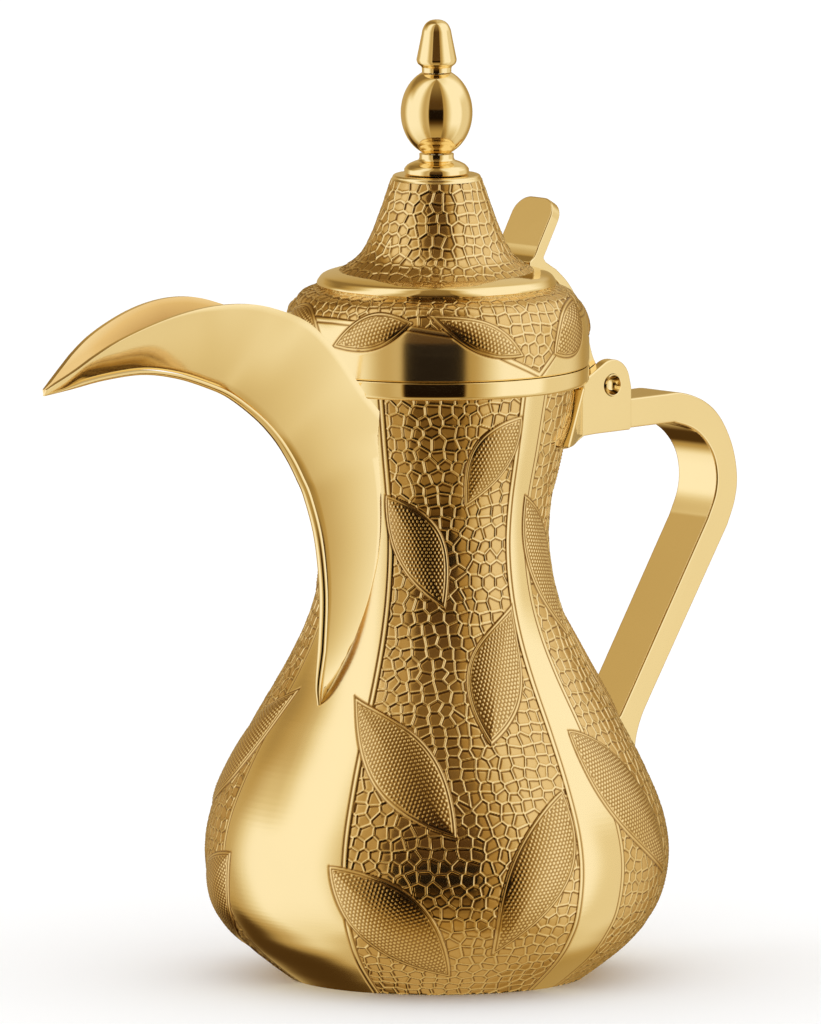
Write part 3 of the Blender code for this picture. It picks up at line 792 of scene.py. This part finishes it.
def make_turned_trim():
    """The plain turned pieces, finer than the CAD's."""
    low, high = (corner[2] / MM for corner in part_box("neck_collar"))
    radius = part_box("neck_collar")[1][0] / MM
    bore = BODY_PROFILE[-1][1] + GAP
    edge, lip = COLLAR_EDGE_R, COLLAR_LIP_R
    collar = turned("collar_band", [
        (bore, high), (radius - edge, high), *arc(radius - edge, high - edge, edge, 80, 0, 4),
        *arc(radius - lip, low + lip, lip, 0, -85, 8), (bore, low),
    ])
    dress(collar, POLISHED, "pot", "polished_gold", "neck_collar")

    low, high = (corner[2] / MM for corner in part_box("lid_bead"))
    bead_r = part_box("lid_bead")[1][0] / MM
    foot_r = SPIRE_PROFILE[0][0]
    seat = SHOULDER_PROFILE[-1][1] - 0.1
    swell = curve([
        (foot_r - 0.6, high + 0.5), (foot_r + 0.6, high + 0.3), (foot_r + 2.6, high - 0.2),
        (foot_r + 4.8, high - 1.0), (bead_r - 0.2, high - 2.2), (bead_r + 0.35, high - 3.2),
        (bead_r + 0.2, seat + 0.35), (bead_r, seat - BEAD_SINK),
    ], 6)
    bead = turned("bead_ring", [
        (foot_r - 2.4, high + 0.5), *swell, (foot_r - 2.4, seat - BEAD_SINK),
    ])
    dress(bead, POLISHED, "lid", "polished_gold", "lid_bead")

    base_low, base_high = (corner[2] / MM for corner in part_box("finial_base"))
    base = turned("finial_disc", [
        (STUD_BORE, base_high), (5.4, base_high), (5.35, 256.9),
        *curve([(5.45, 256.5), (5.9, 255.9), (7.2, 255.45), (8.9, 254.6), (9.8, 253.7)], 5),
        (10.1, 253.2), (10.1, base_low + 0.3), (9.8, base_low), (STUD_BORE, base_low),
    ])
    dress(base, POLISHED, "lid", "polished_gold", "finial_base")

    ball_low, ball_high = (corner[2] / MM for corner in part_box("finial_ball"))
    ball_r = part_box("finial_ball")[1][0] / MM
    centre, half, neck = 270.9, 13.7, 4.6
    oval = [
        (ball_r * cos(a), centre + half * sin(a)) for a in np.linspace(pi / 2, -pi / 2, 65)
    ]
    oval = [point for point in oval if point[0] > neck]
    ball = turned("finial_globe", [
        (STUD_BORE, ball_high), (neck, ball_high), *oval, (neck, ball_low), (STUD_BORE, ball_low),
    ])
    dress(ball, POLISHED, "lid", "polished_gold", "finial_ball")

    tip_low, tip_high = (corner[2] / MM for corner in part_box("finial_tip"))
    crown = curve([(0.0, tip_high), (1.9, 299.7), (3.4, 298.7), (4.35, 297.0), (4.7, 295.4)], 6)
    foot = curve([(6.1, 288.4), (6.27, 287.4), (5.95, 286.3), (5.2, 285.6), (4.7, 285.1)], 5)
    tip = turned("finial_cap", [
        *crown, *foot, (4.6, 284.4), (4.6, tip_low), (STUD_BORE, tip_low), (STUD_BORE, 290.0),
        (0.0, 290.0),
    ])
    dress(tip, POLISHED, "lid", "polished_gold", "finial_tip")


# Beak: keel point (x, z), rim point (x, z) and half width at the rim, from the tip to the foot.
BEAK_STATIONS = [
    (-171.2, 197.2, -171, 198.8, 0.9), (-160, 198.2, -160, 203.8, 4.3),
    (-145.7, 199.7, -145.5, 211, 7.4), (-129, 200, -128, 216.4, 10.3),
    (-114, 197.5, -112, 218.9, 12.4), (-100, 193.1, -97, 218.7, 14.1),
    (-90.7, 189.1, -84.5, 216, 14.5), (-79.3, 181.7, -70, 210.2, 14.1),
    (-71.3, 174.7, -57.5, 199.8, 13.6), (-65.6, 167.9, -47, 187, 14.2),
    (-61.2, 161.2, -36, 175, 14.9), (-57.6, 154.6, -32, 163.5, 14.3),
    (-53.2, 141.6, -30, 146.5, 12.2), (-51, 125, -32, 127, 9.4),
    (-51.6, 109, -39, 110, 6.2), (-53, 96, -45, 96.5, 3.3),
    (-52.3, 89.6, -48, 89.8, 1.6),
]
BEAK_OPEN = 13  # stations whose rim is in the open, ahead of the neck
BEAK_WALL, BEAK_BULGE, KEEL_FLAT = 1.2, 0.22, 1.0
KEEL_BEAD_R, KEEL_BEAD_RISE = 1.6, 1.5
BRAZED_SINK = 0.45  # how far the bracket and handle sink into the vessel
LID_CLEARANCE = 0.4
CORE_TOP = 230.0


def pot_core(sink):
    """The inside of the vessel and collar, and all of the lid, as a cutter for what is brazed to
    the pot. Those pieces sink this far into the vessel."""
    outer = offset_line(body_line(4), -sink)
    low, high = (corner[2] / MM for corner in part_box("neck_collar"))
    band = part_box("neck_collar")[1][0] / MM
    lid_r, band_r = band + LID_CLEARANCE, band - BRAZED_SINK
    profile = [
        (0.0, CORE_TOP), (lid_r, CORE_TOP), (lid_r, high - 0.1), (band_r, high - 0.1),
        (band_r, low + 0.6), (outer[-1][0] + 1.0, low + 0.6),
    ]
    profile += [tuple(p) for p in outer[::-1] if p[1] < low]
    profile.append((0.0, outer[0][1]))
    return turned("core", profile, 128)


def beak_width(share):
    """The share of the rim's width at this share of the way up from the keel."""
    return share * (1 + BEAK_BULGE * (1 - share))


def beak_section(keel, toward, length, width):
    """One V section of the folded sheet: down the outside, then back along the inside."""
    shares = np.linspace(0.0, 1.0, 14)
    flat = min(KEEL_FLAT, 0.3 * width)
    spread = width - flat
    wall = BEAK_WALL * sqrt(1 + (spread * (1 + BEAK_BULGE) / length) ** 2)
    low = min(BEAK_WALL, 0.5 * length)
    outer, inner = [], []
    for share in shares:
        outer.append((share * length, flat + spread * beak_width(share)))
        along = low + share * (length - low)
        half = flat + spread * beak_width(along / length) - wall
        inner.append((along, max(half, (0.12 + 0.2 * share) * outer[-1][1])))
    line = [(a, -w) for a, w in reversed(outer)] + outer
    line += list(reversed(inner)) + [(a, -w) for a, w in inner]
    return [keel + toward * a + Vector((0.0, w, 0.0)) for a, w in line]


def vertex_values(mesh, name):
    """Each vertex's co or normal, as an array of rows."""
    values = np.empty(len(mesh.vertices) * 3, np.float32)
    mesh.vertices.foreach_get(name, values)
    return values.reshape(-1, 3)


def paint_beak_shade(obj):
    """Paints shade on the beak's inside away from its rims, and less of it toward its tip."""
    x, y, _ = (vertex_values(obj.data, "co") / MM).T
    inward = -vertex_values(obj.data, "normal")[:, 1] * np.sign(y)
    rim = BEAK_STATIONS[:BEAK_OPEN]
    width = np.interp(x, [station[2] for station in rim], [station[4] for station in rim])
    depth = np.clip(0.1 + 2.2 * (1.0 - np.abs(y) / width), 0.0, 1.0)
    depth *= np.clip((x + 170.0) / 60.0, 0.35, 1.0)
    set_painted_shade(obj.data, 0.95 * depth * np.clip(inward * 3, 0, 1))


def make_beak():
    """The open trough, and the bead along its keel."""
    rings, bead = [], []
    for kx, kz, rx, rz, width in smooth_line(BEAK_STATIONS, 6):
        keel = Vector((kx, 0.0, kz))
        across = Vector((rx, 0.0, rz)) - keel
        toward = across.normalized()
        inset = min(KEEL_BEAD_RISE + GAP, 0.25 * across.length)
        rings.append(beak_section(keel + toward * inset, toward, across.length, width))
        rise = min(max(0.25 * across.length - GAP, 0.3), KEEL_BEAD_RISE)
        radius = min(KEEL_BEAD_R, 0.35 + 0.22 * width)
        bead.append([
            keel + toward * rise * (1 - sin(a)) + Vector((0.0, radius * cos(a), 0.0))
            for a in np.linspace(0, pi, 13)
        ])
    trough = loft("beak_trough", rings)
    cut(trough, pot_core(0.0))
    rounded(trough, 0.35, 2)
    shade(trough, 40)
    # Shade is painted inside the trough.
    paint_beak_shade(trough)
    # The photograph's polished neck doesn't mirror the trough.
    trough.visible_glossy = False
    dress(trough, CHANNEL, "pot", "polished_gold", "spout_trough")
    rib = loft("beak_keel_bead", bead)
    cut(rib, pot_core(0.0))
    shade(rib, 50)
    dress(rib, POLISHED, "pot", "polished_gold", "spout_keel_bead")


PIN_R, PIN_LENGTH = 3.5, 25.4
PIN_BORE = 0.12  # how much wider the ears' bore is than the pin, in radius
EAR_GAP, EAR_THICK, EAR_R, STRIP_WIDTH, KNUCKLE_R = 17.9, 3.1, 8.0, 17.3, 5.2
BORE_LENGTH = 40.0
STRAP_START, STRAP_TOP, STRAP_BOTTOM = 53.0, 174.9, 165.6

# Saddle of the hinge bracket: outer low point, then outer high point, from its end to the middle.
SADDLE_STATIONS = [
    (20.3, -38.2, 167, 34, -31.5, 184.2), (28, -32.8, 166.6, 38, -27.6, 184.4),
    (36, -26, 166.3, 42.5, -22.6, 184.6), (44, -19.2, 166.1, 47, -17.4, 184.8),
    (51, -13.6, 165.9, 51.2, -13.2, 184.9), (52.4, -8, 165.8, 52.4, -8, 185),
]
SADDLE_ROOT_R = 34.0


def saddle_root(point):
    """The point inside the neck on the same radius."""
    inward = SADDLE_ROOT_R / point.xy.length
    return Vector((point.x * inward, point.y * inward, point.z))


def dished_pin():
    """The hinge pin with a hollow, softly rounded head at each end."""
    half = PIN_LENGTH / 2
    end = curve([(0.0, half - 2.6), (1.2, half - 2.5), (2.1, half - 1.9), (2.9, half - 0.5)], 5)
    end += [(3.1, half - 0.1), (3.3, half - 0.02), (PIN_R, half - 0.3)]
    profile = end + [(r, -z) for r, z in reversed(end)]
    pin = turned("hinge_bar", profile, 96)
    pin.data.transform(Matrix.Rotation(pi / 2, 4, "X"))
    pin.data.transform(Matrix.Translation((PIN_X * MM, 0.0, PIN_Z * MM)))
    return pin


def make_saddle():
    """The wings of the bracket, which lie round the neck and thicken toward the ears."""
    rings = []
    line = smooth_line(SADDLE_STATIONS, 4)
    other_side = [1, -1, 1, 1, -1, 1]
    for station in [*line, *(line[::-1] * other_side)]:
        low, high = Vector(station[:3]), Vector(station[3:])
        rings.append([saddle_root(low), low, high, saddle_root(high)])
    saddle = loft("saddle", rings)
    rounded(saddle, 0.8, 4)
    return saddle


def make_bracket():
    """The casting with its two ears and its saddle, and the pin through them."""
    ear = arc(PIN_X, PIN_Z, EAR_R, 120, 10, 24)
    outline = [
        (55.6, 184.2), *ear, (74.4, 179), (74.4, 166.4), (73.6, 165.7), (58.5, 165.7),
        *curve([(53.4, 165.5), (51, 164.3), (48.2, 162.7), (44, 162.1), (38, 162)], 6),
        (30, 162), (30, 185.4), (47, 185.4), (50.5, 184.2),
    ]
    obj = slab("bracket_casting", outline, EAR_GAP + 2 * EAR_THICK)
    rounded(obj, 0.5, 3)
    floor, start = STRAP_BOTTOM - GAP, STRAP_START - GAP
    cut(obj, slab("slot", [(start, floor), (90.0, floor), (90.0, 200.0), (start, 200.0)], EAR_GAP))
    cut(obj, hinge_rod("bore", PIN_R + PIN_BORE, BORE_LENGTH))
    cut(obj, pot_core(BRAZED_SINK))
    saddle = make_saddle()
    cut(saddle, pot_core(BRAZED_SINK))
    cut(obj, saddle, "UNION")
    flat_sides(obj, 32)
    dress(obj, POLISHED, "pot", "polished_gold", "hinge_bracket")

    pin = dished_pin()
    dress(pin, POLISHED, "pot", "polished_gold", "hinge_pin")


def make_handle():
    """The bent strap, from the bracket's slot round to the belly."""
    top, low = STRAP_TOP, STRAP_BOTTOM
    outer = [(STRAP_START, top), *curve([
        (92, top), (100.5, 174.6), (110.2, 171.3), (117.6, 165.5), (123.1, 156.1),
        (125.25, 146.3), (124.2, 138.5), (120.9, 131),
    ], 8), *curve([
        (86.6, 80.2), (82.8, 74.2), (80.5, 68.5), (79.3, 62.5), (77.1, 57), (73.7, 53),
        (66, 49.5),
    ], 6)]
    inner = [(58, 70.8), (66.9, 71.6), (70.2, 72.8), (73.1, 75.4), *curve([
        (111.8, 133.8), (115.2, 140.9), (116, 147.2), (114.4, 153.6), (110.2, 159.2),
        (104.6, 163.1), (97, low),
    ], 8), (90, low), (STRAP_START, low)]
    obj = slab("handle_bent_strap", outer + inner, STRIP_WIDTH)
    rounded(obj, 0.7, 4)
    cut(obj, pot_core(BRAZED_SINK))
    flat_sides(obj, 40)
    dress(obj, POLISHED, "pot", "polished_gold", "handle_strap")


THUMB_TOP_Z, THUMB_CORNER_R = 238.5, 6.0


def make_lever():
    """The bent strip from the hinge's knuckle to the thumb plate, in one with the lid."""
    leg_outer = curve([
        (44.3, 218.6), (48.6, 215), (51.8, 211.3), (54.8, 206.4), (57.2, 201.4), (59, 195),
        (60.6, 190), (63.2, 185.4),
    ], 6)
    leg_inner = curve([
        (60.2, 181.5), (58.2, 188.4), (55.4, 195), (53.4, 200.4), (51, 205), (48.2, 209.2),
        (46.4, 212.6), (44.2, 215), (40.8, 216.6), (37.6, 217.3),
    ], 6)
    bend = [(36.4, 218.6), (32.4, 220.2), (32.4, 221.8)]
    bend += curve([(33, 222.2), (34.4, 223.2), (35.5, 224.8), (36.4, 226.6)], 5)
    thumb = [(44.8, 240.6), (48.2, 238.6), (38.8, 222.6), (39.8, 221.2)]
    outline = [*leg_outer, (66, 184.9), (66, 181.5), *leg_inner, *bend, *thumb]
    obj = slab("lever_strip", outline, STRIP_WIDTH)
    round_thumb(obj)
    rounded(obj, 0.45, 3)
    cut(obj, hinge_rod("barrel", KNUCKLE_R, STRIP_WIDTH), "UNION")
    cut(obj, hinge_rod("bore", PIN_R + GAP, BORE_LENGTH))
    flat_sides(obj, 35)
    dress(obj, POLISHED, "lid", "polished_gold", "lid_lever")


def round_thumb(obj):
    """Rounds the two short edges at the top of the thumb plate."""
    shape = bmesh.new()
    shape.from_mesh(obj.data)
    corners = [
        edge for edge in shape.edges
        if min(vert.co.z for vert in edge.verts) > THUMB_TOP_Z * MM
        and abs(edge.verts[0].co.y - edge.verts[1].co.y) < 0.1 * MM
    ]
    bmesh.ops.bevel(
        shape, geom=corners, offset=THUMB_CORNER_R * MM, segments=14, affect="EDGES", profile=0.5,
    )
    shape.to_mesh(obj.data)
    shape.free()


def finish_hidden_nodes():
    """The CAD nodes that keep their own meshes get a finished material."""
    looks = {
        "base_plate": BRUSHED, "lid_locating_ring": BRUSHED, "finial_stud": STEEL,
        "finial_washer": STEEL, "finial_nut": STEEL,
    }
    for name, look in looks.items():
        node = frame["nodes"][name]
        for held in node.material_slots:
            held.material = look


# ---- studio

# In degrees and metres. The camera's axis passes the origin this far to the right and above.
CAMERA_AZIMUTH, CAMERA_RISE, CAMERA_BEARING = -45.0, 7.45, -135.0
CAMERA_FAR, AIM_RIGHT, AIM_UP = 11.0, -0.00812, 0.1442
VIEW_HEIGHT = 0.3197  # what the frame's long side spans at the pot
FLOOR_R = 14.0


def make_camera():
    """A long lens far off, at the photograph's viewing angle."""
    a, e = radians(CAMERA_AZIMUTH), radians(CAMERA_RISE)
    back = Vector((sin(a) * cos(e), -cos(a) * cos(e), sin(e)))
    right = Vector((cos(a), sin(a), 0.0))
    up = back.cross(right)
    data = bpy.data.cameras.new("camera")
    data.lens = data.sensor_width * CAMERA_FAR / VIEW_HEIGHT
    data.clip_start, data.clip_end = 0.5 * CAMERA_FAR, 3.0 * CAMERA_FAR
    camera = placed("camera", data)
    camera.location = right * AIM_RIGHT + up * AIM_UP + back * CAMERA_FAR
    camera.rotation_mode = "QUATERNION"
    camera.rotation_quaternion = back.to_track_quat("Z", "Y")
    bpy.context.scene.camera = camera


def make_floor():
    """A plain pale disc, which polished metal doesn't mirror."""
    shape = bmesh.new()
    bmesh.ops.create_circle(shape, cap_ends=True, segments=96, radius=FLOOR_R)
    floor = shape_object("floor", shape)
    look = bpy.data.materials.new("floor")
    look.use_nodes = True
    shader = look.node_tree.nodes["Principled BSDF"]
    shader.inputs["Base Color"].default_value = (0.97, 0.97, 0.97, 1.0)
    shader.inputs["Roughness"].default_value = 0.9
    shader.inputs["Specular IOR Level"].default_value = 0.0
    floor.data.materials.append(look)
    floor.visible_glossy = False


class Maths:
    """Builds a shader tree's arithmetic."""

    def __init__(self, tree):
        self.tree = tree

    def put(self, value, socket):
        """Sets a number on the socket, or links an output to it."""
        if isinstance(value, (int, float)):
            socket.default_value = value
        else:
            self.tree.links.new(value, socket)

    def __call__(self, operation, *values):
        node = self.tree.nodes.new("ShaderNodeMath")
        node.operation = operation
        for value, socket in zip(values, node.inputs):
            self.put(value, socket)
        return node.outputs[0]

    def step(self, value, low, high, out_low=0.0, out_high=1.0):
        """A smooth change from out_low to out_high as value goes from low to high."""
        node = self.tree.nodes.new("ShaderNodeMapRange")
        node.interpolation_type = "SMOOTHSTEP"
        ends = (low, high, out_low, out_high)
        for name, end in zip(("From Min", "From Max", "To Min", "To Max"), ends):
            self.put(end, node.inputs[name])
        self.put(value, node.inputs["Value"])
        return node.outputs["Result"]

    def total(self, *values):
        return reduce(lambda first, second: self("ADD", first, second), values)

    def product(self, *values):
        return reduce(lambda first, second: self("MULTIPLY", first, second), values)

    def mix(self, factor, first, second):
        """first where factor is 0, second where it is 1."""
        rest = self("SUBTRACT", 1.0, factor)
        return self.total(self.product(first, rest), self.product(second, factor))


ROOM_COLOURS = [  # brightness, colour
    (0.0, (0.010, 0.005, 0.002)), (0.12, (0.10, 0.050, 0.012)), (0.45, (0.50, 0.35, 0.135)),
    (0.7, (0.77, 0.67, 0.46)), (0.88, (0.93, 0.88, 0.75)), (1.0, (1.06, 1.05, 1.04)),
]
FLOOR_BRIGHTNESS = 0.58  # what metal mirrors from straight below
PLAIN_LIGHT = 1.1  # the same from all round, for what isn't a mirror


def make_studio():
    """A room of soft panels that polished metal mirrors: a dark gap toward the camera, bright
    walls on both sides, warm where it is dim."""
    world = bpy.data.worlds.new("studio")
    bpy.context.scene.world = world
    world.use_nodes = True
    tree = world.node_tree
    tree.nodes.clear()
    maths = Maths(tree)
    place = linked(tree, "TexCoord").outputs["Generated"]
    x, y, z = linked(tree, "SeparateXYZ", {"Vector": place}).outputs
    rise = maths("MULTIPLY", maths("ARCSINE", z), 180 / pi)
    bearing = maths("MULTIPLY", maths("ARCTAN2", y, x), 180 / pi)
    # turn is 0 toward the camera, and positive on the picture's right.
    turn = maths("SUBTRACT", bearing, CAMERA_BEARING)
    turn = maths("WRAP", turn, 180.0, -180.0)

    ramp = linked(tree, "ValToRGB", {"Fac": room_brightness(maths, turn, rise)})
    for _ in ROOM_COLOURS[2:]:
        ramp.color_ramp.elements.new(0.5)
    for element, (at, colour) in zip(ramp.color_ramp.elements, ROOM_COLOURS):
        element.position = at
        element.color = (*colour, 1.0)

    mirrored = linked(tree, "Background", {"Color": ramp.outputs["Color"]})
    plain = linked(tree, "Background", Color=(1.0, 1.0, 1.0, 1.0), Strength=PLAIN_LIGHT)
    ray = linked(tree, "LightPath").outputs["Is Glossy Ray"]
    choose = linked(tree, "MixShader", {"Fac": ray})
    tree.links.new(plain.outputs["Background"], choose.inputs[1])
    tree.links.new(mirrored.outputs["Background"], choose.inputs[2])
    linked(tree, "OutputWorld", {"Surface": choose.outputs["Shader"]})


def room_brightness(maths, turn, rise):
    """0 to 1 for each direction: turn from the camera's bearing and rise over the horizon. Each
    step is smooth, from one angle to another, with its value before and after."""
    def turned_by(*ends):
        return maths.step(turn, *ends)

    def risen_by(*ends):
        return maths.step(rise, *ends)

    gap = maths.total(
        risen_by(-46, -10, 0.45, 0), risen_by(5, 10, 0, 0.1), risen_by(12, 80, 0, 0.2))
    dim = maths.product(turned_by(83, 95, 0, -0.23), risen_by(8, 26, 1, 0))
    right = maths.total(turned_by(26, 54, 0.44, 1), dim, turned_by(118, 150, 0, -0.36))
    low = maths.product(risen_by(-48, -18, -0.34, 0), turned_by(70, 100, 1, 0))
    right = maths.product(right, risen_by(-72, -40, 0.55, 1), maths.total(1, low))
    left = maths.total(
        turned_by(-64, -40, 1, 0.52), turned_by(-37, -29, 0, 0.05), turned_by(-128, -104, -0.5, 0))
    pit = maths.product(
        turned_by(-140, -126, 1, 0), turned_by(-180, -160), risen_by(-30, -14, -0.82, 0),
        risen_by(-68, -56))
    shelf = maths.product(
        turned_by(-106, -84, 1, 0), turned_by(-180, -150), risen_by(10, 30, 0, -0.48))
    left = maths.product(left, risen_by(-66, -20, 0.82, 1), maths.total(1, pit, shelf))

    wall = maths.mix(maths("GREATER_THAN", turn, 0), left, right)
    wall = maths.product(wall, risen_by(55, 85, 1, 0.8))
    open_side = maths("MAXIMUM", turned_by(-27.5, -23.5, 1, 0), turned_by(20, 24))
    around = maths.mix(open_side, gap, wall)
    return maths.mix(risen_by(-66, -52, 1, 0), around, FLOOR_BRIGHTNESS)


bpy.context.scene.view_settings.view_transform = "Standard"
make_camera()
make_floor()
make_studio()
make_body()
make_lid()
make_turned_trim()
make_beak()
make_bracket()
make_handle()
make_lever()
finish_hidden_nodes()
